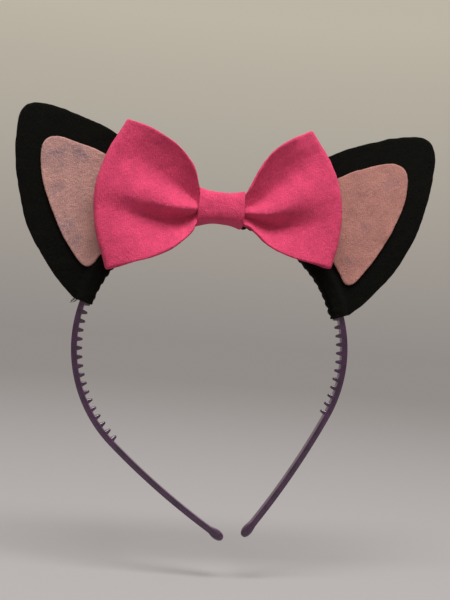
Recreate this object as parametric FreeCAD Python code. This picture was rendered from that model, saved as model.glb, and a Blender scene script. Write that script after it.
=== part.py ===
import FreeCAD, Part

import math
import os

# Cat-ears headband: a toothed plastic band, two folded felt ears and a felt bow.
# Millimetres. The origin is the centre of the band's circle, +Z points up through the bow,
# -Y is the front, and the band lies in the XZ plane.

# --- driving dimensions -------------------------------------------------------------------
BAND_OUTER_R = 62.5
BAND_THICK = 2.7
BAND_WIDTH = 5.0
BAND_CORNER_R = 0.8
FELT_OFFSET_DEG = 11.0      # the felt sits this far round the band from the band's own middle
FELT_THICK = 1.2

TOOTH_HEIGHT = 2.0
TOOTH_LAST_DEG = 126.0      # from the band's middle to the last tooth
TEETH_PER_SIDE = 33
TOOTH_ROOT = (1.7, 3.6)     # along the band, across it
TOOTH_TIP = (0.7, 1.4)
TOOTH_SINK = 0.4            # how far a tooth runs into the band

LEG_START_DEG = 127.0       # where the circle ends and the straighter leg begins
TIP_HALF_GAP = 6.5          # band's middle plane to the centre of each tip
TIP_DEPTH = 83.6            # circle centre to the tips, along the band's own axis
BULB_SIZE = (2.4, 2.8, 3.0)  # half sizes of a tip: through the band, across it, along it

FLEX_GAP = 0.3              # clearance between crown and arm at the flex joint

EAR_START_DEG = {-1: 12.6, 1: 9.4}  # left and right: where an ear starts beside the centre wrap
EAR_END_DEG = {-1: 73.6, 1: 71.3}    # the left one reaches further down
EAR_MERGE_R = 66.5          # outside this radius the two felt layers lie flat together
EAR_SLIT = 0.2              # space between the layers, filled by glue spots
EAR_TOP = ((48.7, 92.8), (87.5, 104.4))         # a point on the top edge, start of the tip's round
EAR_TIP = (94.2, 102.2)
EAR_SIDE = ((96.2, 94.5), (90.6, 59.0))         # end of the tip's round, a point on the outer edge

INNER_EAR_THICK = 1.0
INNER_EAR_BASE_R = 67.1
INNER_EAR_TOP = ((33.0, 68.2), (56.0, 83.4), (75.8, 90.4))
INNER_EAR_TIP = (82.4, 88.4)
INNER_EAR_SIDE = ((83.9, 81.0), (77.4, 57.6), (63.2, 35.4))
INNER_EAR_FOOT = (60.2, 34.1)
INNER_EAR_GLUE = 0.15       # thickness of the glue behind the inner ear

KNOT_X = -1.6               # middle of the centre wrap
KNOT_WIDTH = 21.0
KNOT_FRONT_Y = -12.2
KNOT_TOP_R = 69.4           # at the front, where it covers the gathered bow

BOW_BACK_Y = -4.5
BOW_FRONT_Y = -15.0
BOW_FOLD_Y = -9.6           # middle of the loops' outer folds
BOW_FOLD_R = 2.2
BOW_ROOT_X = 10.9           # from the knot's middle to where the loops open out
GATHER_TOP = 66.6           # height of the pinched middle at the front
GATHER_BOTTOM = 60.6

# --- derived ------------------------------------------------------------------------------
BAND_MID_R = BAND_OUTER_R - BAND_THICK / 2
BAND_INNER_R = BAND_OUTER_R - BAND_THICK
HALF_WIDTH = BAND_WIDTH / 2
TOOTH_TIP_R = BAND_INNER_R - TOOTH_HEIGHT
TOOTH_PITCH_DEG = TOOTH_LAST_DEG / (TEETH_PER_SIDE - 0.5)
FLEX_DEG = 24 * TOOTH_PITCH_DEG         # midway between two teeth, just below the widest point
FIT = 0.1                               # felt channel to band
SEAT_R = TOOTH_TIP_R - FIT - FELT_THICK     # inside of the felt folds, where the head sits
FLAP_Y = EAR_SLIT / 2 + FELT_THICK      # outer faces of an ear's flat layers
WRAP_Y = HALF_WIDTH + FIT + FELT_THICK

Y_AXIS = FreeCAD.Vector(0, 1, 0)
ORIGIN = FreeCAD.Vector(0, 0, 0)


# --- helpers ------------------------------------------------------------------------------
def xz(point, y=0.0):
    return FreeCAD.Vector(point[0], y, point[1])


def polar(radius, degrees, side=1):
    """A point in the XZ plane, measured from +Z towards the given side."""
    angle = math.radians(degrees)
    return (side * radius * math.sin(angle), radius * math.cos(angle))


def mirrored(points, side):
    return [(side * x, z) for x, z in points]


def arc(start, middle, end):
    return Part.Arc(xz(start), xz(middle), xz(end)).toShape()


def line(start, end):
    return Part.LineSegment(xz(start), xz(end)).toShape()


def prism(edges, y_low, y_high):
    """Extrudes a closed XZ outline from y_low to y_high."""
    face = Part.Face(Part.Wire(edges))
    face.translate(FreeCAD.Vector(0, y_low, 0))
    return face.extrude(FreeCAD.Vector(0, y_high - y_low, 0))


def polygon_face(points):
    """A face in the plane x = 0 from (y, z) corners."""
    corners = [FreeCAD.Vector(0, y, z) for y, z in points]
    return Part.Face(Part.makePolygon(corners + corners[:1]))


def swing(face, start_deg, end_deg):
    """Turns a face at x = 0 about the Y axis, from start to end, measured from +Z towards +X."""
    face.rotate(ORIGIN, Y_AXIS, start_deg)
    return face.revolve(ORIGIN, Y_AXIS, end_deg - start_deg)


def union(shapes):
    return shapes[0].multiFuse(shapes[1:]).removeSplitter()


def tilt_to_band(shape):
    """Band parts are built upright, then turned so that the felt's middle is on +Z."""
    shape.rotate(ORIGIN, Y_AXIS, -FELT_OFFSET_DEG)
    return shape


def save(node, shape):
    solids = shape.Solids
    assert solids and shape.isValid(), node
    kept = solids[0] if len(solids) == 1 else Part.makeCompound(solids)
    kept.exportStep(os.path.join("parts", node + ".step"))
    box = kept.BoundBox
    print(f"{node}: {len(solids)} solid, {kept.Volume:.0f} mm3, "
          f"{box.XLength:.1f} x {box.YLength:.1f} x {box.ZLength:.1f}")


# --- band ---------------------------------------------------------------------------------
def band_section():
    """The band's rounded cross-section at the top of its circle, in the plane x = 0."""
    corner = FreeCAD.Vector(0, -HALF_WIDTH, BAND_INNER_R)
    block = Part.makeBox(1, BAND_WIDTH, BAND_THICK, corner)
    long_edges = [edge for edge in block.Edges if edge.BoundBox.XLength > 0.5]
    rounded = block.makeFillet(BAND_CORNER_R, long_edges)
    return next(face for face in rounded.Faces if face.BoundBox.XMax < 0.01)


def tooth(degrees):
    """One comb tooth, pointing at the circle's centre."""
    root_z = BAND_INNER_R + TOOTH_SINK
    wedge = Part.makeWedge(-TOOTH_TIP[0] / 2, TOOTH_TIP_R, -TOOTH_TIP[1] / 2,
                           -TOOTH_ROOT[1] / 2, -TOOTH_ROOT[0] / 2,
                           TOOTH_TIP[0] / 2, root_z, TOOTH_TIP[1] / 2,
                           TOOTH_ROOT[1] / 2, TOOTH_ROOT[0] / 2)
    wedge.rotate(ORIGIN, FreeCAD.Vector(1, 0, 0), 90)
    wedge.rotate(ORIGIN, Y_AXIS, degrees)
    return wedge


def teeth_between(low_deg, high_deg):
    angles = [(k + 0.5) * TOOTH_PITCH_DEG for k in range(TEETH_PER_SIDE)]
    both_sides = angles + [-angle for angle in angles]
    return [tooth(angle) for angle in both_sides if low_deg < angle < high_deg]


def flex_pin(side, radius):
    """A cylinder across the band on a flex joint's axis."""
    centre = xz(polar(BAND_MID_R, FLEX_DEG, side), -HALF_WIDTH - 1)
    return Part.makeCylinder(radius, BAND_WIDTH + 2, centre, Y_AXIS)


def band_crown():
    arch = swing(band_section(), -FLEX_DEG, FLEX_DEG)
    solid = union([arch] + teeth_between(-FLEX_DEG, FLEX_DEG))
    for side in (-1, 1):
        solid = solid.cut(flex_pin(side, BAND_THICK / 2 + FLEX_GAP))
    return tilt_to_band(solid)


def leg():
    """The right leg below the circle: one gentle arc, tangent to the circle, to the tip."""
    start = polar(BAND_MID_R, LEG_START_DEG)
    inward = polar(1.0, LEG_START_DEG + 180)
    reach = (TIP_HALF_GAP - start[0], -TIP_DEPTH - start[1])
    length_squared = reach[0] ** 2 + reach[1] ** 2
    radius = length_squared / (2 * (reach[0] * inward[0] + reach[1] * inward[1]))
    centre = (start[0] + radius * inward[0], start[1] + radius * inward[1])
    turn = 2 * math.degrees(math.asin(math.sqrt(length_squared) / (2 * radius)))
    face = band_section()
    face.rotate(ORIGIN, Y_AXIS, LEG_START_DEG)
    solid = face.revolve(xz(centre), Y_AXIS, turn)
    return solid, LEG_START_DEG + turn


def bulb(leg_end_deg):
    """The rounded tip of a leg, turned to follow it."""
    ball = Part.makeSphere(1.0)
    matrix = FreeCAD.Matrix()
    matrix.scale(BULB_SIZE[2], BULB_SIZE[1], BULB_SIZE[0])
    ball = ball.transformGeometry(matrix)
    ball.rotate(ORIGIN, Y_AXIS, leg_end_deg)
    ball.translate(xz((TIP_HALF_GAP, -TIP_DEPTH)))
    return ball


def band_arm(side):
    """One arm, from the round end at its flex joint to its tip."""
    root = Part.makeCylinder(BAND_THICK / 2, BAND_WIDTH - 2 * BAND_CORNER_R,
                             xz(polar(BAND_MID_R, FLEX_DEG), BAND_CORNER_R - HALF_WIDTH), Y_AXIS)
    curve = swing(band_section(), FLEX_DEG, LEG_START_DEG)
    lower, end_deg = leg()
    solid = union([root, curve, lower, bulb(end_deg)] + teeth_between(FLEX_DEG, 180))
    if side < 0:
        solid = solid.mirror(ORIGIN, FreeCAD.Vector(1, 0, 0))
    return tilt_to_band(solid)


# --- ears ---------------------------------------------------------------------------------
def ear_outline(side):
    """The ear's flat shape, open towards the band, closed well inside it."""
    root = polar(SEAT_R, EAR_START_DEG[side] - 1)
    foot = polar(SEAT_R, EAR_END_DEG[side] + 1)
    top, shoulder, tip, cheek, flank, foot, root = mirrored(
        [EAR_TOP[0], EAR_TOP[1], EAR_TIP, EAR_SIDE[0], EAR_SIDE[1], foot, root], side)
    return [arc(root, top, shoulder), arc(shoulder, tip, cheek), arc(cheek, flank, foot),
            line(foot, root)]


def ear_layer(side, y_low, y_high):
    outside = Part.makeCylinder(EAR_MERGE_R, y_high - y_low, xz((0, 0), y_low), Y_AXIS)
    return prism(ear_outline(side), y_low, y_high).cut(outside)


def ear_fold(side):
    """The felt folded under the band, closing to the flat layers above it."""
    slit = EAR_SLIT / 2
    channel_y = HALF_WIDTH + FIT
    channel_top = BAND_OUTER_R + FIT
    round_r = 0.9
    outer = [(FLAP_Y, EAR_MERGE_R), (WRAP_Y, channel_top + 0.6), (WRAP_Y, SEAT_R + round_r),
             (WRAP_Y - round_r, SEAT_R)]
    inner = [(channel_y, TOOTH_TIP_R - FIT), (channel_y, channel_top), (slit, EAR_MERGE_R)]
    left = [(-y, z) for y, z in reversed(outer)]
    back = [(-y, z) for y, z in reversed(inner)]
    face = polygon_face(outer + left + back + inner)
    low, high = sorted((side * EAR_START_DEG[side], side * EAR_END_DEG[side]))
    return swing(face, low, high)


def ear_felt(side):
    layers = [ear_layer(side, -FLAP_Y, -EAR_SLIT / 2), ear_layer(side, EAR_SLIT / 2, FLAP_Y)]
    return union([ear_fold(side)] + layers)


def glue_spots(points, y_low, thickness, radius):
    spots = [Part.makeCylinder(radius, thickness, xz(point, y_low), Y_AXIS) for point in points]
    return Part.makeCompound(spots)


def ear_glue(side):
    """Glue between the two layers: spots along the rim of the ear."""
    rim = [(40, 79), (54, 88), (69, 94), (85, 96), (87, 80), (83, 62), (74, 46), (64, 33)]
    return glue_spots(mirrored(rim, side), -EAR_SLIT / 2, EAR_SLIT, 3.5)


def inner_ear(side):
    root = polar(INNER_EAR_BASE_R, 27.5)
    sole = polar(INNER_EAR_BASE_R, 41.0)
    heel = polar(INNER_EAR_BASE_R, 54.6)
    points = [root, INNER_EAR_TOP[0], INNER_EAR_TOP[1], INNER_EAR_TOP[2], INNER_EAR_TIP,
              INNER_EAR_SIDE[0], INNER_EAR_SIDE[1], INNER_EAR_SIDE[2], INNER_EAR_FOOT, heel, sole]
    root, shoulder, top, brow, tip, cheek, flank, ankle, foot, heel, sole = mirrored(points, side)
    edges = [line(root, shoulder), arc(shoulder, top, brow), arc(brow, tip, cheek),
             arc(cheek, flank, ankle), arc(ankle, foot, heel), arc(heel, sole, root)]
    back = -FLAP_Y - INNER_EAR_GLUE
    return prism(edges, back - INNER_EAR_THICK, back)


def inner_ear_glue(side):
    spots = [(44, 72), (58, 77), (74, 83), (75, 66), (68, 51), (59, 39.5)]
    return glue_spots(mirrored(spots, side), -FLAP_Y - INNER_EAR_GLUE, INNER_EAR_GLUE, 3.0)


# --- bow ----------------------------------------------------------------------------------
def loop_ring(side):
    """One loop of the bow seen from above: two layers of felt that meet in an outer fold."""
    reach = 55.9 if side > 0 else 57.3

    def face(inset):
        root = BOW_ROOT_X + inset * 0.9
        fold_r = BOW_FOLD_R - inset
        front_root = (root, -11.0 + inset)
        front_mid = (0.55 * reach, BOW_FRONT_Y + inset)
        front_end = (reach - BOW_FOLD_R, BOW_FOLD_Y - fold_r)
        fold = (reach - BOW_FOLD_R + fold_r, BOW_FOLD_Y)
        back_end = (reach - BOW_FOLD_R, BOW_FOLD_Y + fold_r)
        back_mid = (0.62 * reach, BOW_BACK_Y - inset - 0.2)
        back_root = (root, BOW_BACK_Y - inset)
        points = [FreeCAD.Vector(KNOT_X + side * x, y, 0) for x, y in (
            front_root, front_mid, front_end, fold, back_end, back_mid, back_root)]
        edges = [Part.Arc(points[0], points[1], points[2]).toShape(),
                 Part.Arc(points[2], points[3], points[4]).toShape(),
                 Part.Arc(points[4], points[5], points[6]).toShape(),
                 Part.LineSegment(points[6], points[0]).toShape()]
        return Part.Face(Part.Wire(edges))

    tall = FreeCAD.Vector(0, 0, 90)
    ring = face(0.0).extrude(tall).cut(face(FELT_THICK).extrude(tall))
    ring.translate(FreeCAD.Vector(0, 0, 22))
    return ring


def loop_outline(side):
    """One loop of the bow seen from the front, from the knot out to its two sharp corners."""
    if side < 0:
        points = [(-11.4, 53.6), (-24.0, 40.8), (-49.7, 30.7), (-58.4, 62.0), (-45.9, 98.4),
                  (-22.5, 86.9), (-11.4, 69.6)]
    else:
        points = [(8.4, 55.8), (22.5, 45.4), (50.4, 39.4), (53.9, 68.0), (35.1, 101.7),
                  (18.6, 88.6), (8.4, 69.8)]
    low_root, low_mid, low_corner, edge_mid, top_corner, top_mid, top_root = points
    root_x = KNOT_X + side * (BOW_ROOT_X - 0.3)
    low_end = (root_x, low_root[1])
    top_end = (root_x, top_root[1])
    return [line(low_end, low_root), arc(low_root, low_mid, low_corner),
            arc(low_corner, edge_mid, top_corner), arc(top_corner, top_mid, top_root),
            line(top_root, top_end), line(top_end, low_end)]


def gathered_middle():
    """The bow's pinched middle, inside the centre wrap. Only its front half reaches the loops."""
    back_edge = (-HALF_WIDTH - 0.3, GATHER_BOTTOM - 1.7)
    waist = (BOW_BACK_Y + 0.2, GATHER_BOTTOM - 1.3)
    front = [(-10.8, GATHER_TOP - 0.6), (-10.8, GATHER_BOTTOM)]
    core = [waist, back_edge, (-HALF_WIDTH - 0.3, GATHER_TOP - 3.0), (-9.0, GATHER_TOP)] + front
    whole = [waist, (BOW_BACK_Y + 0.2, GATHER_TOP - 2.2), (-9.0, GATHER_TOP)] + front
    return union([bar(core, KNOT_WIDTH - 0.8), bar(whole, 2 * (BOW_ROOT_X + FELT_THICK))])


def bar(profile, length):
    """A bar along X, centred on the knot, from its (y, z) profile."""
    face = polygon_face(profile)
    face.translate(FreeCAD.Vector(KNOT_X - length / 2, 0, 0))
    return face.extrude(FreeCAD.Vector(length, 0, 0))


def bow_loops():
    loops = [loop_ring(side).common(prism(loop_outline(side), -30, 10)) for side in (-1, 1)]
    return union([gathered_middle()] + loops)


def bow_center_wrap():
    """A felt strip round the gathered bow and the band, its end lapped over at the back."""
    back = WRAP_Y
    t = FELT_THICK
    low = SEAT_R
    front = KNOT_FRONT_Y
    top_back = BAND_OUTER_R + FIT
    outer = [(front, low + 3.2), (front + 1, low + 2.2), (-back - 0.4, low + 1.2), (0.9 - back, low),
             (back - 0.9, low), (back, low + 0.9), (back, top_back + 0.4),
             (back - 1, top_back + t), (front + 2.6, KNOT_TOP_R), (front, KNOT_TOP_R - 1.2)]
    inner = [(front + t, low + t + 2.6), (-back, low + t + 1.3), (t - back, low + t),
             (back - t, low + t), (back - t, top_back), (front + 3.2, KNOT_TOP_R - t),
             (front + t, KNOT_TOP_R - t - 0.8)]
    lap = [(1.0, top_back + 0.6), (back - 0.6, top_back + 0.6), (back + 0.15, top_back - 0.2),
           (back + 0.15, low + 2), (back + 0.15 + t, low + 2), (back + 0.15 + t, top_back + 0.8),
           (back - 0.4, top_back + 2 * t), (1.0, top_back + 2 * t)]
    ring = polygon_face(outer).cut(polygon_face(inner)).Faces[0]
    solid = union([swing(ring, -14, 14), swing(polygon_face(lap), -14, 14)])
    width = Part.makeBox(KNOT_WIDTH, 60, 60, FreeCAD.Vector(KNOT_X - KNOT_WIDTH / 2, -30, 30))
    return solid.common(width)


def bow_glue():
    """Glue between the gathered bow and the front of the band."""
    return Part.makeBox(14, 0.2, 2.0, FreeCAD.Vector(KNOT_X - 7, -HALF_WIDTH - 0.25, 60.1))


def wrap_glue():
    """Glue under the lapped end of the centre wrap."""
    low = SEAT_R + 2.8
    return Part.makeBox(15, 0.15, 2.6, FreeCAD.Vector(KNOT_X - 7.5, WRAP_Y, low))


def main():
    os.makedirs("parts", exist_ok=True)
    save("band_crown", band_crown())
    save("bow_loops", bow_loops())
    save("bow_center_wrap", bow_center_wrap())
    save("bow_glue", bow_glue())
    save("wrap_glue", wrap_glue())
    for name, side in (("left", -1), ("right", 1)):
        save(f"band_{name}_arm", band_arm(side))
        save(f"{name}_ear_felt", ear_felt(side))
        save(f"{name}_ear_glue", ear_glue(side))
        save(f"{name}_inner_ear", inner_ear(side))
        save(f"{name}_inner_ear_glue", inner_ear_glue(side))


main()
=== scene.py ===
import math

import bmesh
import bpy
import numpy as np
from mathutils import Matrix, Vector, noise


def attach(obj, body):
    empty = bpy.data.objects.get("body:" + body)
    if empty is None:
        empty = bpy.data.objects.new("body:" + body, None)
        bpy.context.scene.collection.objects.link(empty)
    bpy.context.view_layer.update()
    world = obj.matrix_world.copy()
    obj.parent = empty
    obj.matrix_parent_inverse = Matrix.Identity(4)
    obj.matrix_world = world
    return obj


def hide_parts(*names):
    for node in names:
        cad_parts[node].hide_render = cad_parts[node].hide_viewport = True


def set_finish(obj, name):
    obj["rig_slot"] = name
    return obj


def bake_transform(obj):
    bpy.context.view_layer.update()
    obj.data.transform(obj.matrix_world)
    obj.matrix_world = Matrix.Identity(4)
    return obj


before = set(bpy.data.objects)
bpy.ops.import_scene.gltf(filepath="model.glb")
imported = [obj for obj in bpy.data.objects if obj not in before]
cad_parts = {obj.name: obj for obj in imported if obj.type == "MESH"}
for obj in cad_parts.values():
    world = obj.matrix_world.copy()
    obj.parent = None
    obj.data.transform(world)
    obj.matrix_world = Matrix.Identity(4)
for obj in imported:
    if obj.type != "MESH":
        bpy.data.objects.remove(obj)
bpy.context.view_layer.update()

# Cat-ears headband. Shapes are worked out in millimetres and stored in metres.
# +Z is up through the bow, -Y is the front, the origin is the centre of the band's circle.
MM = 0.001
SIDES = (("left", -1), ("right", 1))

# --- band ---------------------------------------------------------------------------------
BAND_TILT_DEG = -11.0       # the band's own middle leans this far from the felt's
BAND_R = 61.15              # to the middle of its thickness
BAND_HALF = (1.35, 2.5)     # half its thickness, half its width
TOOTH_PITCH_DEG = 126.0 / 32.5
TEETH_PER_SIDE = 33
LEG_START_DEG = 127.0
TIP = (6.5, -83.6)
RING = 16                   # points round the band's section
SQUARE = 8.0                # how square the section is: 2 is an ellipse
FIRST_TOOTH = 2             # each half starts this many teeth from the middle, inside the wrap
TOOTH_HALF = 1.2            # half a tooth's root, along the band
HALF_PITCH = 2.07
TOOTH_STEPS = ((0.25, 0.94), (0.9, 0.78), (1.6, 0.62), (2.05, 0.52), (2.3, 0.26))  # height, size
JOIN_DEG = 0.6              # the arc's last ring lies this far past the leg's start
LEG_CLEAR = (3.5, 5.2)      # plain rings keep this far from the leg's two ends
LEG_RINGS = 20
BULB_HALF = (2.35, 2.75)
# Each: distance before the leg's end, share of the growth or of the bulb's full size, squareness
BULB_NECK = ((4.2, 0.10, 6.0), (3.2, 0.45, 3.6), (2.0, 0.85, 2.6), (0.6, 1.0, 2.1))
BULB_CAP = ((-0.8, 0.93, 2.0), (-2.0, 0.70, 2.0), (-2.8, 0.38, 2.0))

# --- ears ---------------------------------------------------------------------------------
FELT = 1.2                  # thickness of the ears' and the bow's felt
INNER_THICK = 1.0
EAR_ARC_DEG = {-1: (12.8, 74.6), 1: (9.6, 72.1)}
BAND_TOP_R = 62.6           # the felt layers start to close above the band here
FLAT_R = 67.5               # and lie flat together from here
FOOT_DEG = 3.5              # towards the ear's lower end they close nearer the band
FOOT_TUCK = 0.55
START_DROP = {-1: 0.0, 1: 0.7}      # the right ear's first corner hangs below the wrap
START_DROP_DEG = 2.4
RIM_CLEAR = 0.6             # the rim's two ends lie this far out from where the layers meet
EAR_COLUMNS = 118
EAR_ROWS = 22
SCALLOP = 0.62              # how far the felt sinks between two teeth
EAR_RIM = {
    -1: ((-27.7, 77.0), (-50.9, 92.8), (-67.3, 99.4), (-77.0, 102.4), (-86.6, 103.4), (-91.2, 101.8),
         (-93.8, 98.0), (-94.6, 92.0), (-94.2, 80.5), (-92.4, 68.4), (-90.1, 58.5), (-86.9, 49.3),
         (-82.7, 41.4), (-77.6, 33.8), (-71.3, 25.9), (-66.1, 20.2)),
    1: ((28.9, 80.4), (46.6, 92.0), (61.3, 98.9), (71.5, 102.6), (81.0, 105.1), (90.2, 106.4),
        (96.2, 104.0), (98.5, 98.8), (98.3, 91.0), (96.5, 79.4), (93.0, 64.8), (88.9, 54.6),
        (84.3, 45.4), (78.9, 37.4), (71.8, 29.0), (66.6, 23.9)),
}
INNER_RIM = {
    -1: ((-40.6, 74.0), (-55.0, 82.8), (-66.6, 86.6), (-74.0, 88.5), (-79.0, 88.2), (-82.0, 85.6),
         (-82.9, 80.4), (-82.0, 72.6), (-79.6, 64.2), (-75.6, 55.0), (-70.2, 44.6), (-64.0, 36.0),
         (-60.4, 32.4), (-57.6, 31.8), (-55.2, 33.8), (-52.8, 37.6), (-48.0, 43.4), (-41.0, 50.4),
         (-34.0, 55.8), (-31.2, 59.6)),
    1: ((42.8, 75.5), (55.0, 84.1), (64.1, 88.2), (72.8, 91.2), (78.4, 92.0), (82.5, 90.7), (84.9, 87.5),
        (85.4, 82.9), (84.5, 74.7), (81.9, 66.4), (78.0, 57.4), (72.5, 47.5), (66.8, 39.1), (63.3, 35.0),
        (61.0, 33.7), (58.6, 34.3), (56.2, 38.1), (51.6, 44.5), (44.0, 52.0), (36.2, 57.8), (33.2, 61.5)),
}
LEFT_SMUDGES = ((-75, 80, 7.5), (-66, 82, 4.5), (-74, 64, 3.6), (-70, 49, 5.0), (-64, 42, 3.6))
RIGHT_SMUDGES = ((77, 82, 4.4), (66, 60, 2.6), (60, 44, 3.0))       # x, z, radius
FIBRE_ROOT = (-61.9, -0.8, 16.9)
FIBRE_COUNT = 11

# --- bow ----------------------------------------------------------------------------------
KNOT_X = -1.6
KNOT_HALF = 10.5
FOLD_R = 1.9                # how far the loops' outer folds stand out
BOW_COLUMNS = 57
GATHER_Z = (58.9, 7.4)      # the gathered middle's bottom and its height
GATHER_Y = (-9.9, -3.9)     # its front and back
WRAP_PATH = (               # y and z round the bow and the band, ending over its own start
    (3.2, 60.0), (3.2, 58.0), (2.4, 57.25), (-1.0, 57.1), (-6.0, 57.0), (-10.2, 57.4), (-11.5, 59.2),
    (-11.9, 62.4), (-11.3, 66.4), (-9.6, 68.6), (-7.0, 68.5), (-2.0, 66.2), (1.6, 63.9), (4.3, 63.0),
    (4.55, 61.6), (4.55, 59.0))
WRAP_MIDDLE = (-4.5, 62.5)
WRAP_R = 57.1               # the wrap's underside follows the band
WRAP_FLARE = 1.7
LOOP_EDGES = {
    -1: {"bottom": ((-11.9, 55.4), (-13.6, 50.6), (-17.3, 46.0), (-24.0, 40.6), (-34.0, 35.6), (-47.4, 31.4)),
         "fold": ((-47.4, 31.4), (-53.4, 47.0), (-55.4, 62.0), (-52.4, 79.0), (-44.0, 96.6)),
         "top": ((-11.9, 68.6), (-13.0, 73.6), (-16.6, 80.6), (-23.0, 87.3), (-33.0, 92.8), (-44.0, 96.6))},
    1: {"bottom": ((8.7, 55.6), (11.6, 54.4), (15.2, 51.4), (20.8, 46.6), (31.0, 42.6), (47.2, 40.0)),
        "fold": ((47.2, 40.0), (50.0, 52.0), (50.6, 66.0), (46.2, 83.0), (34.6, 99.6)),
        "top": ((8.7, 69.0), (11.2, 73.6), (14.2, 81.0), (18.4, 88.2), (25.4, 94.0), (34.6, 99.6))},
}

# --- glue and fuzz ------------------------------------------------------------------------
EAR_GLUE = ((40, 79), (54, 88), (69, 94), (85, 96), (87, 80), (83, 62), (74, 46), (65, 33))
INNER_GLUE = ((44, 72), (58, 77), (74, 83), (75, 66), (68, 51), (59.5, 40))
FUZZ = {"ear": (1100, 0.9), "inner": (500, 0.7), "bow": (1800, 0.9), "wrap": (320, 0.7)}  # hairs, mm

# --- stage, light, camera, in metres ------------------------------------------------------
FLOOR_Z = -0.103
STAGE_REACH = 1.9           # the flat floor's radius
STAGE_BEND = 1.0            # radius of the bend from floor to wall
STAGE_WALL = 0.8
STAGE_AROUND, STAGE_STEPS = 96, 40
STAGE_FLOOR_SHARE, STAGE_BEND_SHARE = 0.3, 0.55
ROOM_STRENGTH = 0.42
PANEL_PLACE = (0.05, -0.44, 1.0)
PANEL_AIM = (0, 0, 0.05)
PANEL_SIZE = (0.8, 0.45)
PANEL_WATTS = 18.0
CAMERA_PLACE = (-0.0413, -0.4048, 0.0030)
CAMERA_FORWARD = (0.1123, 0.9926, 0.0471)
CAMERA_UP = (-0.0842, -0.0377, 0.9957)
CAMERA_LENS = 54.0

rng = np.random.default_rng(7)


# ============================================================================ small helpers
def polar(radius, degrees):
    """Distance and angle from +Z towards +X, as x and z."""
    a = np.radians(degrees)
    return np.stack([radius * np.sin(a), radius * np.cos(a)], -1)


def spline(points, count, closed=False):
    """Evenly spaced points on a smooth curve through the given ones."""
    p = np.array(points, float)
    n = len(p)
    if closed:
        p = np.vstack([p[-1], p, p[0], p[1]])
        spans = n
    else:
        p = np.vstack([2 * p[0] - p[1], p, 2 * p[-1] - p[-2]])
        spans = n - 1
    t = np.linspace(0, 1, 24, endpoint=False)[:, None]
    dense = []
    for k in range(spans):
        a, b, c, d = p[k:k + 4]
        dense.append(0.5 * (2 * b + (c - a) * t + (2 * a - 5 * b + 4 * c - d) * t ** 2
                            + (3 * b - a - 3 * c + d) * t ** 3))
    dense = np.vstack(dense + [p[-2]])
    run = np.concatenate([[0], np.cumsum(np.linalg.norm(np.diff(dense, axis=0), axis=1))])
    want = np.linspace(0, run[-1], count, endpoint=not closed)
    return np.stack([np.interp(want, run, dense[:, i]) for i in range(dense.shape[1])], -1)


def wobble(points, size, seed):
    """Smooth noise, mostly from -1 to 1, at each point (mm), with features of the given size."""
    waves = np.random.default_rng(100 + seed)
    points = np.asarray(points, float)
    total = np.zeros(len(points))
    for _ in range(14):
        direction = waves.normal(size=3)
        direction *= waves.uniform(0.6, 1.5) / np.linalg.norm(direction)
        total += np.sin(points @ direction * (2.4 / size) + waves.uniform(0, 2 * math.pi))
    return total / 5.0


def make_object(name, verts, faces, material):
    """A mesh object from points in millimetres."""
    mesh = bpy.data.meshes.new(name)
    mesh.from_pydata([tuple(v) for v in np.asarray(verts, float) * MM], [], faces)
    mesh.validate()
    obj = bpy.data.objects.new(name, mesh)
    bpy.context.scene.collection.objects.link(obj)
    mesh.polygons.foreach_set("use_smooth", [True] * len(mesh.polygons))
    mesh.materials.append(material)
    return obj


def grid_faces(rows, columns, wrap_rows=False, wrap_columns=False):
    """Quads of a grid whose points are listed row by row."""
    faces = []
    for i in range(rows if wrap_rows else rows - 1):
        for j in range(columns if wrap_columns else columns - 1):
            i2, j2 = (i + 1) % rows, (j + 1) % columns
            faces.append((i * columns + j, i * columns + j2, i2 * columns + j2, i2 * columns + j))
    return faces


def apply_modifiers(obj):
    """Replaces the mesh by its evaluated one."""
    graph = bpy.context.evaluated_depsgraph_get()
    done = bpy.data.meshes.new_from_object(obj.evaluated_get(graph))
    obj.modifiers.clear()
    old = obj.data
    obj.data = done
    bpy.data.meshes.remove(old)


def subdivide(obj, levels):
    """Applies the modifiers so far, with a subdivision surface after them."""
    smooth = obj.modifiers.new("smooth", "SUBSURF")
    smooth.levels = levels
    smooth.render_levels = levels
    apply_modifiers(obj)
    obj.data.polygons.foreach_set("use_smooth", [True] * len(obj.data.polygons))


def thicken(obj, thickness):
    """Gives a sheet its thickness, half to each side, with rounded cut edges."""
    solid = obj.modifiers.new("thickness", "SOLIDIFY")
    solid.thickness = thickness * MM
    solid.offset = 0
    solid.use_even_offset = True
    solid.use_quality_normals = True
    subdivide(obj, 1)


def roughen(obj, amounts, seed):
    """Pushes a felt surface in and out a little: pairs of amount and feature size, in mm."""
    mesh = obj.data
    co = np.zeros(len(mesh.vertices) * 3, np.float32)
    mesh.vertices.foreach_get("co", co)
    co = co.reshape(-1, 3).astype(float)
    normals = np.zeros(len(mesh.vertices) * 3, np.float32)
    mesh.vertex_normals.foreach_get("vector", normals)
    normals = normals.reshape(-1, 3).astype(float)
    push = np.zeros(len(co))
    for k, (amount, size) in enumerate(amounts):
        push += amount * wobble(co / MM, size, seed + 11 * k)
    co += normals * (push * MM)[:, None]
    mesh.vertices.foreach_set("co", co.astype(np.float32).ravel())
    mesh.update()


def put_on_crown(obj, slot, *nodes):
    """The piece rides on the crown, takes a slot's finish and stands for the CAD nodes given, if any."""
    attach(obj, "crown")
    if nodes:
        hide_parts(*nodes)
    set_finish(obj, slot)


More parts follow.
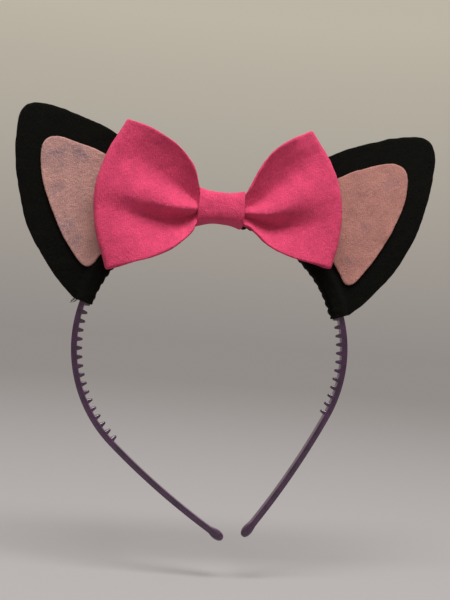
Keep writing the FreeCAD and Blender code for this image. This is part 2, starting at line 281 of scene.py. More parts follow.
def fuzz(name, cloth, count, length, seed):
    """Loose fibre ends over a felt surface: thin bent hairs, each a closed three-sided spike."""
    pick = np.random.default_rng(seed)
    mesh = cloth.data
    chosen = pick.choice(len(mesh.polygons), count, replace=False)
    verts, faces = [], []
    for index in chosen:
        face = mesh.polygons[int(index)]
        start = np.array(face.center) / MM
        normal = np.array(face.normal)
        along = np.cross(normal, pick.normal(size=3))
        along /= np.linalg.norm(along)
        across = np.cross(normal, along)
        reach = length * pick.uniform(0.4, 1.2)
        rise = pick.uniform(0.15, 0.6)
        first = len(verts)
        for t, size in ((-0.1, 0.030), (0.35, 0.030), (0.7, 0.024)):
            spot = start + reach * (along * t + normal * rise * math.sin(1.9 * max(t, -0.05)))
            for k in range(3):
                a = 2 * math.pi * k / 3
                verts.append(spot + size * (math.cos(a) * normal + math.sin(a) * across))
        verts.append(start + reach * (along + normal * rise * 0.95))
        for low in (first, first + 3):
            for k in range(3):
                k2 = (k + 1) % 3
                faces.append((low + k, low + k2, low + 3 + k2, low + 3 + k))
        faces += [(first + 6 + k, first + 6 + (k + 1) % 3, first + 9) for k in range(3)]
        faces.append((first + 2, first + 1, first))
    put_on_crown(make_object(name, verts, faces, mesh.materials[0]), cloth["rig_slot"])


# ================================================================================ materials
class Nodes:
    """A new material's node tree, with short calls to add and join nodes."""

    def __init__(self, name):
        self.material = bpy.data.materials.new(name)
        self.material.use_nodes = True
        self.tree = self.material.node_tree
        self.shader = self.tree.nodes["Principled BSDF"]
        self.place = self.tree.nodes.new("ShaderNodeTexCoord").outputs["Object"]

    def add(self, kind, inputs=None, **settings):
        node = self.tree.nodes.new(kind)
        for key, value in settings.items():
            setattr(node, key, value)
        for key, value in (inputs or {}).items():
            self.put(value, node.inputs[key])
        return node

    def put(self, value, socket):
        if isinstance(value, bpy.types.NodeSocket):
            self.tree.links.new(value, socket)
        elif socket.type == "RGBA":
            socket.default_value = (*value[:3], 1.0)
        else:
            socket.default_value = value

    def noise(self, scale, detail=4.0, roughness=0.6, distortion=0.0, vector=None):
        return self.add("ShaderNodeTexNoise", {
            "Vector": vector or self.place, "Scale": scale, "Detail": detail,
            "Roughness": roughness, "Distortion": distortion}).outputs["Fac"]

    def ramp(self, value, stops):
        node = self.add("ShaderNodeValToRGB", {"Fac": value})
        while len(node.color_ramp.elements) < len(stops):
            node.color_ramp.elements.new(0.5)
        for element, (position, color) in zip(node.color_ramp.elements, stops):
            element.position = position
            element.color = (*color, 1.0)
        return node.outputs["Color"]

    def mix(self, factor, a, b, blend="MIX"):
        node = self.add("ShaderNodeMix", data_type="RGBA", blend_type=blend)
        self.put(factor, node.inputs[0])
        self.put(a, node.inputs[6])
        self.put(b, node.inputs[7])
        return node.outputs[2]

    def math(self, operation, a, b=0.0):
        node = self.add("ShaderNodeMath", operation=operation)
        self.put(a, node.inputs[0])
        self.put(b, node.inputs[1])
        return node.outputs[0]

    def bump(self, height, strength, distance, under=None):
        inputs = {"Height": height, "Strength": strength, "Distance": distance}
        if under:
            inputs["Normal"] = under
        return self.add("ShaderNodeBump", inputs).outputs["Normal"]

    def set(self, **values):
        for key, value in values.items():
            self.put(value, self.shader.inputs[key.replace("_", " ")])


def linear(r, g, b):
    """A display colour, 0 to 255, as scene-linear light."""
    return tuple((c / 255 / 12.92) if c <= 10 else ((c / 255 + 0.055) / 1.055) ** 2.4
                 for c in (r, g, b))


def shade(color, factor):
    return tuple(min(1.0, c * factor) for c in color)


def felt_material(name, color, contrast, sheen, stain=None):
    """Pressed wool felt: matted short fibres, mottled, with a soft sheen."""
    m = Nodes(name)
    drift = m.add("ShaderNodeTexNoise", {"Vector": m.place, "Scale": 420.0, "Detail": 3.0})
    bent = m.add("ShaderNodeVectorMath", {0: drift.outputs["Color"], 1: (0.0022, 0.0022, 0.0022),
                                          2: m.place}, operation="MULTIPLY_ADD").outputs["Vector"]
    fibres = m.noise(2400.0, 4.0, 0.7, 0.6, bent)
    strands = m.add("ShaderNodeTexWave", {"Vector": bent, "Scale": 330.0, "Distortion": 9.0, "Detail": 3.0,
                                          "Detail Scale": 2.2, "Detail Roughness": 0.75}).outputs["Fac"]
    clumps = m.noise(900.0, 3.0, 0.65, 0.5, bent)
    patches = m.noise(150.0, 4.0, 0.6)
    tone = m.ramp(fibres, [(0.28, shade(color, 1 - contrast)), (0.74, shade(color, 1 + contrast))])
    clump_tone = m.ramp(clumps, [(0.26, shade(color, 1 - 1.9 * contrast)),
                                 (0.74, shade(color, 1 + 1.7 * contrast))])
    tone = m.mix(0.6, tone, clump_tone)
    strand_tone = m.ramp(strands, [(0.15, shade(color, 1 - contrast)),
                                   (0.85, shade(color, 1 + 1.2 * contrast))])
    tone = m.mix(0.3, tone, strand_tone)
    broad = m.ramp(patches, [(0.3, (0.86, 0.86, 0.87)), (0.7, (1.1, 1.1, 1.09))])
    tone = m.mix(1.0, tone, broad, "MULTIPLY")
    if stain:
        tone = stained(m, tone, *stain)
    height = m.math("ADD", m.math("MULTIPLY", fibres, 0.5), clumps)
    height = m.math("ADD", height, m.math("MULTIPLY", strands, 0.25))
    m.set(Base_Color=tone, Roughness=0.95, Specular_IOR_Level=0.06, Sheen_Weight=sheen,
          Sheen_Roughness=0.6, Normal=m.bump(height, 0.8, 0.0006))
    m.set(Sheen_Tint=tuple(0.5 + 0.5 * c for c in color))
    return m.material


def stained(m, tone, spots, dark):
    """Lets glue behind thin felt show through as soft grey shadows."""
    cover = None
    for centre, radius in spots:
        mask = smudge_mask(m, centre, radius)
        cover = mask if cover is None else m.math("MAXIMUM", cover, mask)
    streaks = m.noise(330.0, 4.0, 0.7, 0.8)
    broken = m.add("ShaderNodeMapRange", {"Value": streaks, "From Min": 0.36, "From Max": 0.62})
    return m.mix(m.math("MULTIPLY", cover, broken.outputs["Result"]), tone, dark)


def smudge_mask(m, centre, radius):
    """Soft uneven spot round a point, fading out from its middle."""
    away = m.add("ShaderNodeVectorMath", {0: m.place, 1: tuple(c * MM for c in centre)},
                 operation="DISTANCE").outputs["Value"]
    ragged = m.math("MULTIPLY", m.noise(180.0, 3.0, 0.6), 1.5 * radius * MM)
    near = m.add("ShaderNodeMapRange", {"Value": m.math("ADD", away, ragged), "From Min": 0.7 * radius * MM,
                                        "From Max": 2.1 * radius * MM, "To Min": 0.95, "To Max": 0.0})
    return near.outputs["Result"]


def plastic_material():
    """Dark purple moulded plastic, glossy, with a mauve sheen where it turns away."""
    m = Nodes("purple_plastic")
    dark, light = linear(36, 9, 38), linear(64, 26, 64)
    cloud = m.noise(220.0, 3.0, 0.5, 0.4)
    tone = m.ramp(cloud, [(0.3, dark), (0.75, light)])
    ripple = m.noise(420.0, 3.0, 0.55)
    scuff = m.noise(1500.0, 5.0, 0.7)
    rough = m.add("ShaderNodeMapRange", {"Value": scuff, "From Min": 0.3, "From Max": 0.8,
                                         "To Min": 0.20, "To Max": 0.36})
    m.set(Base_Color=tone, Roughness=rough.outputs["Result"], IOR=1.5, Specular_IOR_Level=0.6,
          Coat_Weight=0.6, Coat_Roughness=0.12, Subsurface_Weight=0.12, Subsurface_Scale=0.0012,
          Sheen_Weight=0.18, Sheen_Roughness=0.35, Sheen_Tint=linear(160, 96, 150),
          Normal=m.bump(ripple, 0.12, 0.0003))
    m.shader.inputs["Subsurface Radius"].default_value = (1.0, 0.35, 0.8)
    return m.material


def glue_material():
    """Hot glue: milky, smooth and a little clear."""
    m = Nodes("hot_glue")
    tone = m.ramp(m.noise(500.0, 3.0, 0.5), [(0.3, linear(196, 190, 176)), (0.7, linear(226, 222, 210))])
    m.set(Base_Color=tone, Roughness=0.28, Transmission_Weight=0.35, Subsurface_Weight=0.3,
          Subsurface_Scale=0.001, Normal=m.bump(m.noise(900.0), 0.2, 0.0002))
    return m.material


def stage_material():
    """Pale grey with painted light: lighter and glowing more higher up, like a lit wall across the room."""
    m = Nodes("pale_stage")
    height = m.add("ShaderNodeSeparateXYZ", {"Vector": m.place}).outputs["Z"]
    up = m.add("ShaderNodeMapRange", {"Value": height, "From Min": 0.0, "From Max": 1.2}).outputs["Result"]
    # Painted light: the colour lightens with height and the surface glows, more so higher up.
    tone = m.mix(up, linear(125, 124, 126), linear(176, 171, 161))
    painted_glow = m.mix(up, linear(117, 111, 108), linear(152, 147, 134))
    m.set(Base_Color=tone, Roughness=0.95, Specular_IOR_Level=0.1, Emission_Color=painted_glow,
          Emission_Strength=1.0)
    return m.material


def behind(points):
    """Places on an inner ear's front face, with the size of each smudge."""
    return [((x, -2.6, z), radius) for x, z, radius in points]


BLACK_FELT = felt_material("black_felt", linear(11, 11, 8), 0.30, 0.006)
PINK_FELT = felt_material("hot_pink_felt", linear(207, 66, 104), 0.13, 0.10)
# Two copies of one pale felt: the right one is darker than the left, which is painted shade.
PALE_LEFT = felt_material("dusty_pink_felt_left", linear(180, 137, 130), 0.09, 0.05,
                          (behind(LEFT_SMUDGES), linear(122, 104, 112)))
PALE_RIGHT_SHADED = felt_material("dusty_pink_felt_right", linear(171, 121, 113), 0.08, 0.05,
                           (behind(RIGHT_SMUDGES), linear(136, 104, 106)))
PLASTIC = plastic_material()
GLUE = glue_material()


# ===================================================================================== band
def leg_arc():
    """Centre, radius and turn in degrees of the leg's arc, in the band's own frame."""
    start = polar(BAND_R, LEG_START_DEG)
    inward = polar(1.0, LEG_START_DEG + 180)
    reach = np.array(TIP) - start
    radius = (reach @ reach) / (2 * (reach @ inward))
    turn = 2 * math.degrees(math.asin(np.linalg.norm(reach) / (2 * radius)))
    return start + radius * inward, radius, turn


def half_band(name, side):
    """One half of the band: a swept rounded section with comb teeth and a bulb at its tip."""
    def arc_row(at):
        return (*polar(BAND_R, at), at, *BAND_HALF, SQUARE)

    step = TOOTH_PITCH_DEG
    first = side * FIRST_TOOTH
    degrees_per_mm = math.degrees(1 / BAND_R)
    rows, teeth = [arc_row(first * step)], []
    for k in range(first, TEETH_PER_SIDE):
        teeth.append(len(rows) + 1)
        for offset in (-TOOTH_HALF, 0.0, TOOTH_HALF, HALF_PITCH):
            rows.append(arc_row((k + 0.5) * step + offset * degrees_per_mm))
    rows[-1] = arc_row(LEG_START_DEG + JOIN_DEG)
    centre, radius, turn = leg_arc()
    length = math.radians(turn) * radius
    stops = [(stop, BAND_HALF, SQUARE)
             for stop in np.linspace(LEG_CLEAR[0], length - LEG_CLEAR[1], LEG_RINGS)]
    for back, grow, power in BULB_NECK:
        half = [a + (b - a) * grow for a, b in zip(BAND_HALF, BULB_HALF)]
        stops.append((length - back, half, power))
    for back, size, power in BULB_CAP:
        stops.append((length - back, [b * size for b in BULB_HALF], power))
    for stop, half, power in stops:
        at = LEG_START_DEG + math.degrees(stop / radius)
        rows.append((*(centre + polar(radius, at)), at, *half, power))
    return band_mesh(name, rows, teeth, side)


def band_mesh(name, rows, teeth, side):
    """Skins rings of x, z, angle, half thickness, half width and squareness, and adds the teeth."""
    tilt = math.radians(BAND_TILT_DEG)
    turn = np.array([[math.cos(tilt), math.sin(tilt)], [-math.sin(tilt), math.cos(tilt)]])
    t = np.arange(RING) * 2 * math.pi / RING
    verts, centres = [], []
    for x, z, degrees, thick, wide, power in rows:
        out = polar(1.0, degrees)
        u = thick * np.sign(np.cos(t)) * np.abs(np.cos(t)) ** (2 / power)
        v = wide * np.sign(np.sin(t)) * np.abs(np.sin(t)) ** (2 / power)
        flat = np.array([x, z]) + u[:, None] * out
        flat[:, 0] *= side
        flat = flat @ turn.T
        verts += [(p[0], y, p[1]) for p, y in zip(flat, v)]
        middle = turn @ (np.array([x, z]) * (side, 1))
        inward = turn @ (-out * (side, 1))
        centres.append((middle, inward))
    bm = bmesh.new()
    points = [bm.verts.new(p) for p in verts]
    grid = {}
    for i in range(len(rows) - 1):
        for j in range(RING):
            j2 = (j + 1) % RING
            quad = (points[i * RING + j], points[i * RING + j2],
                    points[(i + 1) * RING + j2], points[(i + 1) * RING + j])
            grid[i, j] = bm.faces.new(quad)
    bm.faces.new(points[:RING])
    bm.faces.new(points[-RING:])
    inner = RING // 2
    for row in teeth:
        region = [grid[i, j] for i in (row - 1, row) for j in (inner - 1, inner)]
        raise_tooth(bm, region, *centres[row])
    bmesh.ops.recalc_face_normals(bm, faces=bm.faces)
    mesh = bpy.data.meshes.new(name)
    bmesh.ops.scale(bm, vec=(MM, MM, MM), verts=bm.verts)
    bm.to_mesh(mesh)
    bm.free()
    mesh.materials.append(PLASTIC)
    obj = bpy.data.objects.new(name, mesh)
    bpy.context.scene.collection.objects.link(obj)
    subdivide(obj, 2)
    return obj


def raise_tooth(bm, region, middle, inward):
    """Pulls a patch of the band's inner face towards the circle's centre, narrowing as it goes."""
    inward = Vector((inward[0], 0, inward[1]))
    middle = Vector((middle[0], 0, middle[1])) + inward * BAND_HALF[0]

    def spot(v):
        return tuple(round(c, 5) for c in v.co)

    across = {}
    for v in {v for f in region for v in f.verts}:
        offset = v.co - middle
        across[v] = offset - inward * offset.dot(inward)
    for height, size in TOOTH_STEPS:
        made = bmesh.ops.extrude_face_region(bm, geom=region)
        old = {spot(v): offset for v, offset in across.items()}
        across = {v: old[spot(v)] for v in made["geom"] if isinstance(v, bmesh.types.BMVert)}
        bmesh.ops.delete(bm, geom=region, context="FACES_ONLY")
        region = [g for g in made["geom"] if isinstance(g, bmesh.types.BMFace)]
        for v, offset in across.items():
            v.co = middle + inward * height + offset * size


def make_band():
    """Both halves of the band, baked in place with the band's finish, standing in for the CAD arms and crown.
    """
    for name, side in SIDES:
        band = half_band(f"band_{name}", side)
        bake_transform(band)
        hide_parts(f"band_{name}_arm", "band_crown")
        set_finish(band, "band_plastic")


# ===================================================================================== ears
def ear_lean(x, z, side):
    """How far the ear's flat part leans back or forward at a point, in mm."""
    rise = np.clip((np.hypot(x, z) - FLAT_R) / 60.0, 0, None)
    across = np.arctan2(np.abs(x), z) - math.radians(41)
    if side < 0:
        return 1.6 * rise ** 2 + 2.2 * across * rise + 0.5 * np.sin(z / 17.0) * rise
    return 1.2 * rise ** 2 - 2.0 * across * rise + 0.5 * np.sin(z / 15.0 + 1.0) * rise


def ear_profile():
    """The felt's middle surface from under the band to where the layers lie flat: radius, y."""
    gap = FELT / 2 + 0.08
    side_y = BAND_HALF[1] + FELT / 2 + 0.1
    points = [(57.15, 0.0), (57.15, 1.2), (57.3, 2.2), (58.1, side_y - 0.1), (59.6, side_y),
              (61.6, side_y), (62.9, side_y - 0.15), (63.9, side_y - 0.9), (65.0, 1.45),
              (66.1, 0.92), (FLAT_R, gap)]
    return spline(points, 24)


def ear_felt(name, side):
    """One piece of felt folded under the band, hugging the teeth, with its layers together above."""
    columns = EAR_COLUMNS
    low, high = EAR_ARC_DEG[side]
    angles = np.linspace(low, high, columns)
    tuck = 1 - FOOT_TUCK * np.clip(1 - (high - angles) / FOOT_DEG, 0, 1)
    flat_r = BAND_TOP_R + (FLAT_R - BAND_TOP_R) * tuck
    first = polar(FLAT_R + RIM_CLEAR, low + 0.2)
    last = polar(flat_r[-1] + RIM_CLEAR, high - 0.05)
    rim = spline([first, *(np.array(EAR_RIM[side]) * (side, 1)), last], columns)
    drop = START_DROP[side] * np.exp(-((angles - low) / START_DROP_DEG) ** 2)
    profile = ear_profile()
    tooth_phase = (angles * side - BAND_TILT_DEG) / TOOTH_PITCH_DEG - 0.5
    sag = (0.5 - 0.5 * np.cos(2 * math.pi * tooth_phase)) * (1 + 0.5 * np.sin(1.7 * angles))
    rows = []
    for face in (-1, 1):
        ragged = 0.35 * wobble([(x, face * 9.0, z) for x, z in rim], 9.0, 3 + face + side)
        ragged += 0.16 * wobble([(x, face * 9.0, z) for x, z in rim], 1.7, 13 + face + side)
        sheet_rows = []
        for radius, y in profile:
            under = np.clip((61.0 - radius) / 3.8, 0, 1)
            r = radius + SCALLOP * sag * under ** 1.5 - drop * under
            if radius > BAND_TOP_R:
                r = BAND_TOP_R + (radius - BAND_TOP_R) * tuck
            flat = polar(r, angles)
            depth = np.full(columns, y) - 0.22 * sag * np.clip(1 - abs(radius - 59.5) / 3, 0, 1)
            sheet_rows.append(np.stack([side * flat[:, 0], face * depth, flat[:, 1]], -1))
        base = polar(flat_r, angles)
        outward = (rim - base) / np.linalg.norm(rim - base, axis=1, keepdims=True)
        edge = rim + outward * ragged[:, None]
        for t in np.linspace(0, 1, EAR_ROWS + 1)[1:]:
            flat = base + (edge - base) * t
            y = np.full(columns, profile[-1][1])
            sheet_rows.append(np.stack([side * flat[:, 0], face * y, flat[:, 1]], -1))
        rows.append(sheet_rows)
    grid = rows[0][::-1] + rows[1][1:]
    points = np.array(grid)
    points[..., 1] += ear_lean(points[..., 0], points[..., 2], side)
    obj = make_object(name, points.reshape(-1, 3), grid_faces(len(grid), columns), BLACK_FELT)
    thicken(obj, FELT)
    roughen(obj, ((0.10, 4.0), (0.06, 1.3)), 5 + side)
    return obj


def inner_ear(name, side, material):
    """A thin rounded triangle of pale felt on the ear's front, pressed at its rim."""
    rim = spline(np.array(INNER_RIM[side]) * (side, 1), 200, closed=True)
    middle = rim.mean(0)
    rings = 26
    verts = []
    t = np.linspace(1, 0, rings, endpoint=False)
    wave = 1 + 0.004 * wobble([(x, 0, z) for x, z in rim], 6.0, 21 + side)
    front = profile_front()
    for share in t:
        flat = middle + (rim - middle) * share * wave[:, None]
        x, z = side * flat[:, 0], flat[:, 1]
        radius = np.hypot(x, z)
        skin = np.interp(radius, front[:, 0], front[:, 1])
        lift = 0.10 * wobble(np.stack([x, 0 * x, z], -1), 11.0, 31 + side)
        y = -skin - INNER_THICK / 2 - 0.12 + lift * (0.3 + 0.7 * (1 - share ** 6))
        verts.append(np.stack([x, y + ear_lean(x, z, side), z], -1))
    cx, cz = side * middle[0], middle[1]
    centre_y = verts[-1][:, 1].mean()
    points = np.vstack([np.vstack(verts), [(cx, centre_y, cz)]])
    faces = grid_faces(rings, len(rim), wrap_columns=True)
    last = (rings - 1) * len(rim)
    hub = rings * len(rim)
    faces += [(last + j, last + (j + 1) % len(rim), hub) for j in range(len(rim))]
    obj = make_object(name, points, faces, material)
    thicken(obj, INNER_THICK)
    roughen(obj, ((0.07, 4.0), (0.05, 1.2)), 15 + side)
    return obj


def profile_front():
    """Outer surface of the ear's front layer: radius and distance from the middle plane."""
    profile = ear_profile()[12:]
    outer = np.stack([profile[:, 0] + 0.2, profile[:, 1] + FELT / 2], -1)
    return np.vstack([outer, [(200.0, outer[-1, 1])]])


def make_ears():
    """Each ear's folded felt and its inner ear, with their fuzz."""
    for name, side in SIDES:
        felt = ear_felt(f"{name}_ear", side)
        put_on_crown(felt, "ear_felt", f"{name}_ear_felt")
        fuzz(f"{name}_ear_fuzz", felt, *FUZZ["ear"], 40 + side)
        inner = inner_ear(f"{name}_inner", side, PALE_LEFT if side < 0 else PALE_RIGHT_SHADED)
        put_on_crown(inner, "inner_felt", f"{name}_inner_ear")
        fuzz(f"{name}_inner_fuzz", inner, *FUZZ["inner"], 50 + side)


# ====================================================================================== bow
def patch(edges, u, v):
    """A point grid between an outer fold, a top and a bottom edge and the knot: x and z."""
    bottom = spline(edges["bottom"], 60)
    top = spline(edges["top"], 60)
    fold = spline(edges["fold"], 60)
    root = np.linspace(bottom[0], top[0], 60)

    def at(curve, share):
        where = share * 59
        return np.stack([np.interp(where, np.arange(60), curve[:, i]) for i in range(2)], -1)

    uu, vv = np.meshgrid(u, v, indexing="ij")
    b, t = at(bottom, uu), at(top, uu)
    r, f = at(root, vv), at(fold, vv)
    uu, vv = uu[..., None], vv[..., None]
    corners = ((1 - uu) * (1 - vv) * bottom[0] + uu * (1 - vv) * bottom[-1]
               + (1 - uu) * vv * top[0] + uu * vv * top[-1])
    return (1 - vv) * b + vv * t + (1 - uu) * r + uu * f - corners


def ease(value, low, high):
    """0 below low, 1 above high, smooth between."""
    t = np.clip((value - low) / (high - low), 0, 1)
    return t * t * (3 - 2 * t)


def front_depth(u, v, side):
    """y of the bow's front layer: a crease, a ridge over it and a hollow run out from the knot."""
    def along(*values):
        return np.interp(u, (0, 0.08, 0.25, 0.5, 0.8, 1.0), values)

    if side < 0:
        crease_at = along(0.30, 0.31, 0.32, 0.33, 0.36, 0.38)
        ridge_at = along(0.42, 0.42, 0.42, 0.45, 0.51, 0.55)
        hollow_at = along(0.60, 0.62, 0.67, 0.73, 0.76, 0.78)
    else:
        crease_at = along(0.26, 0.27, 0.28, 0.28, 0.29, 0.30)
        ridge_at = along(0.38, 0.37, 0.38, 0.44, 0.55, 0.62)
        hollow_at = along(0.58, 0.60, 0.65, 0.71, 0.80, 0.84)
    bottom = along(-10.6, -13.0, -16.2, -17.0, -16.0, -13.8)
    if side > 0:
        bottom = along(-10.6, -12.2, -14.2, -14.8, -14.6, -13.2)
    crease = along(-9.5, -9.1, -8.7, -9.8, -12.3, -12.6)
    ridge = along(-10.6, -12.6, -15.2, -15.4, -14.0, -12.9)
    hollow = along(-9.8, -9.7, -9.9, -10.9, -12.1, -12.4)
    top = along(-10.4, -12.4, -15.4, -16.8, -15.8, -13.4)
    y = crease + (ridge - crease) * ease(v, crease_at, ridge_at)
    y += (hollow - ridge) * ease(v, ridge_at, hollow_at)
    y += (top - hollow) * np.clip((v - hollow_at) / (1 - hollow_at), 0, 1) ** 1.5
    y += (bottom - crease) * np.clip((crease_at - v) / crease_at, 0, 1) ** 1.25
    return y + 0.3 * np.sin(13 * v + 5 * u + side) * np.sin(math.pi * u)


def back_depth(u, v, side):
    """y of the bow's back layer, which stays off the ears."""
    base = np.interp(u, (0, 0.1, 0.5, 1.0), (-4.9, -4.9, -5.2, -7.2))
    gather = np.interp(u, (0, 0.15, 0.5, 0.9), (0.5, 1.3, 0.9, 0.0))
    ripple = np.clip(np.sin(9.5 * v + 1.1 + 0.8 * side), 0, 1)
    return base - gather * ripple


def bow_loops():
    """A strip folded into two loops. Its rows run round the strip, its columns across it."""
    v = np.linspace(0, 1, BOW_COLUMNS)
    u = np.concatenate([np.linspace(0, 0.2, 13)[:-1], np.linspace(0.2, 1, 34)])
    rows = []
    for side in (-1, 1):
        flat = patch(LOOP_EDGES[side], u, v)
        uu, vv = np.meshgrid(u, v, indexing="ij")
        front = np.stack([flat[..., 0], front_depth(uu, vv, side), flat[..., 1]], -1)
        tucked = 1.6 * (1 - vv) ** 2 * np.sin(math.pi * uu)
        back = np.stack([flat[..., 0], back_depth(uu, vv, side), flat[..., 1] + tucked], -1)
        turned = fold_rows(front[-1], back[-1], flat[-1] - flat[-3])
        rows.append([*front, *turned, *back[::-1]])
    left, right = rows
    front_middle = middle_rows(left[0], right[0], GATHER_Y[0])
    back_middle = middle_rows(right[-1], left[-1], GATHER_Y[1])
    ring = np.array([*left[::-1], *front_middle, *right, *back_middle])
    faces = grid_faces(len(ring), BOW_COLUMNS, wrap_rows=True)
    obj = make_object("bow", ring.reshape(-1, 3), faces, PINK_FELT)
    thicken(obj, FELT)
    roughen(obj, ((0.22, 9.0), (0.10, 3.2), (0.05, 1.2)), 9)
    return obj


def fold_rows(front, back, outward):
    """Rows that carry the felt round the loop's outer fold."""
    outward = outward / np.linalg.norm(outward, axis=1, keepdims=True)
    rows = []
    for angle in np.linspace(0, math.pi, 9)[1:-1]:
        y = (front[:, 1] + back[:, 1]) / 2 + (front[:, 1] - back[:, 1]) / 2 * math.cos(angle)
        reach = FOLD_R * math.sin(angle)
        rows.append(np.stack([front[:, 0] + outward[:, 0] * reach, y,
                              front[:, 2] + outward[:, 1] * reach], -1))
    return rows


def middle_rows(start, end, depth):
    """Rows of the gathered strip as it passes through the centre wrap."""
    rows = []
    share_up = np.linspace(0, 1, len(start))
    z_inside = GATHER_Z[0] + GATHER_Z[1] * share_up
    pleat = 0.6 * np.sin(share_up * 2 * math.pi * 2.5)
    for t in np.linspace(0, 1, 12)[1:-1]:
        squeeze = min(1.0, 9 * t * (1 - t) + 0.25)
        x = start[:, 0] + (end[:, 0] - start[:, 0]) * t
        z = (start[:, 2] + (end[:, 2] - start[:, 2]) * t) * (1 - squeeze) + z_inside * squeeze
        y = (start[:, 1] + (end[:, 1] - start[:, 1]) * t) * (1 - squeeze) + (depth + pleat) * squeeze
        rows.append(np.stack([x, y, z], -1))
    return rows


def center_wrap():
    """A felt strip round the gathered bow and the band, its end lapped over at the back."""
    path = spline(WRAP_PATH, 96)
    columns = 25
    share = np.linspace(-1, 1, columns)
    run = np.linspace(0, 1, len(path))
    middle = np.array(WRAP_MIDDLE)
    rows = []
    for point, at in zip(path, run):
        outward = (point - middle) / np.linalg.norm(point - middle)
        flare = WRAP_FLARE * np.abs(share) ** 2.3
        x = KNOT_X + share * (KNOT_HALF + 0.25 * np.sin(9 * at))
        y = point[0] + outward[0] * flare * 0.4
        drop = WRAP_R - np.sqrt(WRAP_R ** 2 - x ** 2)
        low = np.clip((64.0 - point[1]) / 6.0, 0, 1)
        back = np.clip((point[0] + 6.0) / 6.0, 0, 1)
        z = point[1] + outward[1] * flare - drop * low * (0.35 + 0.65 * back)
        rows.append(np.stack([x, y, z], -1))
    rows = np.array(rows)
    obj = make_object("bow_wrap", rows.reshape(-1, 3), grid_faces(len(rows), columns), PINK_FELT)
    thicken(obj, FELT)
    roughen(obj, ((0.14, 6.0), (0.07, 2.2), (0.04, 1.0)), 19)
    return obj


def make_bow():
    """The gathered loops and the strip round them, with their fuzz."""
    bow = bow_loops()
    put_on_crown(bow, "bow_felt", "bow_loops")
    fuzz("bow_fuzz", bow, *FUZZ["bow"], 60)
    wrap = center_wrap()
    put_on_crown(wrap, "bow_felt", "bow_center_wrap")
    fuzz("bow_wrap_fuzz", wrap, *FUZZ["wrap"], 61)


# ===================================================================================== glue
def blobs(name, places, half, node, seed):
    """Pressed drops of hot glue: flat lumps with uneven outlines."""
    verts, faces = [], []
    around, rings = 18, 5
    for k, (x, y, z) in enumerate(places):
        first = len(verts)
        for i in range(rings):
            up = math.cos(math.pi * (i + 0.5) / rings)
            wide = math.sqrt(1 - up * up)
            for j in range(around):
                a = 2 * math.pi * j / around
                lump = 1 + 0.22 * noise.noise(Vector((math.cos(a) + k * 3.1, math.sin(a), seed)))
                verts.append((x + half[0] * wide * lump * math.cos(a), y + half[1] * up,
                              z + half[2] * wide * lump * math.sin(a)))
        faces += [tuple(first + c for c in f) for f in grid_faces(rings, around, wrap_columns=True)]
        faces.append(tuple(first + j for j in reversed(range(around))))
        faces.append(tuple(first + (rings - 1) * around + j for j in range(around)))
    obj = make_object(name, verts, faces, GLUE)
    subdivide(obj, 1)
    put_on_crown(obj, "glue", node)


def make_glue():
    """Drops between the ears' layers and behind the inner ears, and beads under the bow and wrap."""
    for name, side in SIDES:
        inside = [(side * x * 0.985, float(ear_lean(x, z, side)), z * 0.985) for x, z in EAR_GLUE]
        blobs(f"{name}_ear_glue_drops", inside, (3.4, 0.08, 3.0), f"{name}_ear_glue", side)
        under = [(side * x, float(ear_lean(x, z, side)) - 1.38, z) for x, z in INNER_GLUE]
        blobs(f"{name}_inner_glue_drops", under, (2.9, 0.10, 2.6), f"{name}_inner_ear_glue", 5 + side)
    blobs("bow_glue_bead", [(KNOT_X, -2.62, 61.1)], (7.0, 0.12, 1.3), "bow_glue", 8)
    blobs("wrap_glue_bead", [(KNOT_X, 3.86, 60.2)], (7.5, 0.10, 1.4), "wrap_glue", 9)


def stray_fibres():
    """A few frayed fibres at the left ear's lower outer corner."""
    curve = bpy.data.curves.new("left_ear_fibres", "CURVE")
    curve.dimensions = "3D"
    curve.bevel_depth = 0.08 * MM
    curve.bevel_resolution = 1
    root = np.array(FIBRE_ROOT)
    for _ in range(FIBRE_COUNT):
        start = root + np.array((rng.uniform(-1.4, 1.4), rng.uniform(-0.9, 0.9), rng.uniform(-0.4, 1.2)))
        lean = np.array((-rng.uniform(0.3, 1.0), rng.uniform(-0.4, 0.4), -rng.uniform(0.1, 0.9)))
        length = rng.uniform(1.4, 3.4)
        line = curve.splines.new("NURBS")
        line.points.add(4)
        sway = rng.uniform(-0.5, 0.5, 3)
        for i, point in enumerate(line.points):
            t = i / 4
            p = start + lean * length * t + sway * length * 0.5 * math.sin(math.pi * t)
            point.co = (*(p * MM), 1.0)
        line.order_u = 3
        line.use_endpoint_u = True
    curve.materials.append(BLACK_FELT)
    obj = bpy.data.objects.new("left_ear_fibres", curve)
    bpy.context.scene.collection.objects.link(obj)
    put_on_crown(obj, "ear_felt")


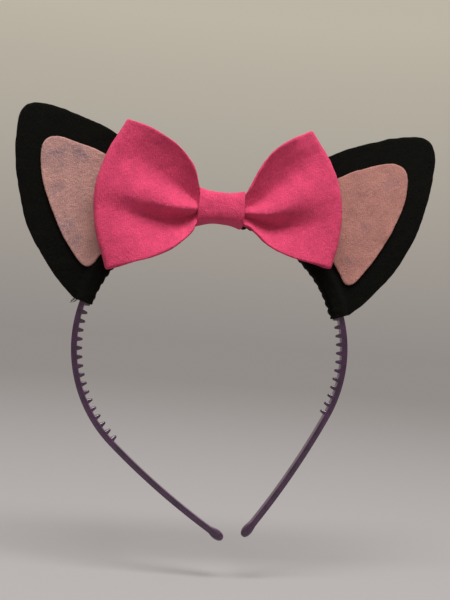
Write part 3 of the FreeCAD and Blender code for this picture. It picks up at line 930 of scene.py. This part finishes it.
# ============================================================================ stage, camera
def make_stage():
    """A pale floor that curves up all round, open above."""
    floor_share, bend_share = STAGE_FLOOR_SHARE, STAGE_BEND_SHARE
    wall_share = 1 - floor_share - bend_share
    verts = []
    for i in range(STAGE_STEPS):
        t = i / (STAGE_STEPS - 1)
        if t < floor_share:
            radius, rise = STAGE_REACH * t / floor_share, 0.0
        elif t < floor_share + bend_share:
            a = (t - floor_share) / bend_share * math.pi / 2
            radius, rise = STAGE_REACH + STAGE_BEND * math.sin(a), STAGE_BEND * (1 - math.cos(a))
        else:
            radius = STAGE_REACH + STAGE_BEND
            rise = STAGE_BEND + STAGE_WALL * (t - floor_share - bend_share) / wall_share
        for j in range(STAGE_AROUND):
            b = 2 * math.pi * j / STAGE_AROUND
            verts.append((radius * math.cos(b), radius * math.sin(b), FLOOR_Z + rise))
    faces = grid_faces(STAGE_STEPS, STAGE_AROUND, wrap_columns=True)
    make_object("floor", np.array(verts) / MM, faces, stage_material())


def make_light():
    """Even room light, with a soft panel overhead and a little in front."""
    world = bpy.data.worlds.new("studio")
    bpy.context.scene.world = world
    world.use_nodes = True
    back = world.node_tree.nodes["Background"]
    back.inputs["Color"].default_value = (1.0, 0.985, 0.955, 1.0)
    back.inputs["Strength"].default_value = ROOM_STRENGTH
    panel = bpy.data.lights.new("panel", "AREA")
    panel.shape = "RECTANGLE"
    panel.size, panel.size_y = PANEL_SIZE
    panel.energy = PANEL_WATTS
    panel.color = (1.0, 0.985, 0.965)
    obj = bpy.data.objects.new("panel", panel)
    obj.location = PANEL_PLACE
    obj.rotation_euler = (Vector(PANEL_AIM) - obj.location).to_track_quat("-Z", "Y").to_euler()
    bpy.context.scene.collection.objects.link(obj)


def make_camera():
    """At the photograph's angle: from the left, level with the band's centre, rolled a little."""
    forward = Vector(CAMERA_FORWARD).normalized()
    right = forward.cross(Vector(CAMERA_UP)).normalized()
    up = right.cross(forward)
    turn = Matrix((right, up, -forward)).transposed()
    data = bpy.data.cameras.new("camera")
    data.sensor_width = 36.0
    data.lens = CAMERA_LENS
    data.clip_start = 0.01
    obj = bpy.data.objects.new("camera", data)
    obj.matrix_world = Matrix.Translation(Vector(CAMERA_PLACE)) @ turn.to_4x4()
    bpy.context.scene.collection.objects.link(obj)
    bpy.context.scene.camera = obj


make_camera()
make_stage()
make_light()
make_band()
make_ears()
make_bow()
make_glue()
stray_fibres()
bpy.context.scene.view_settings.view_transform = "Standard"
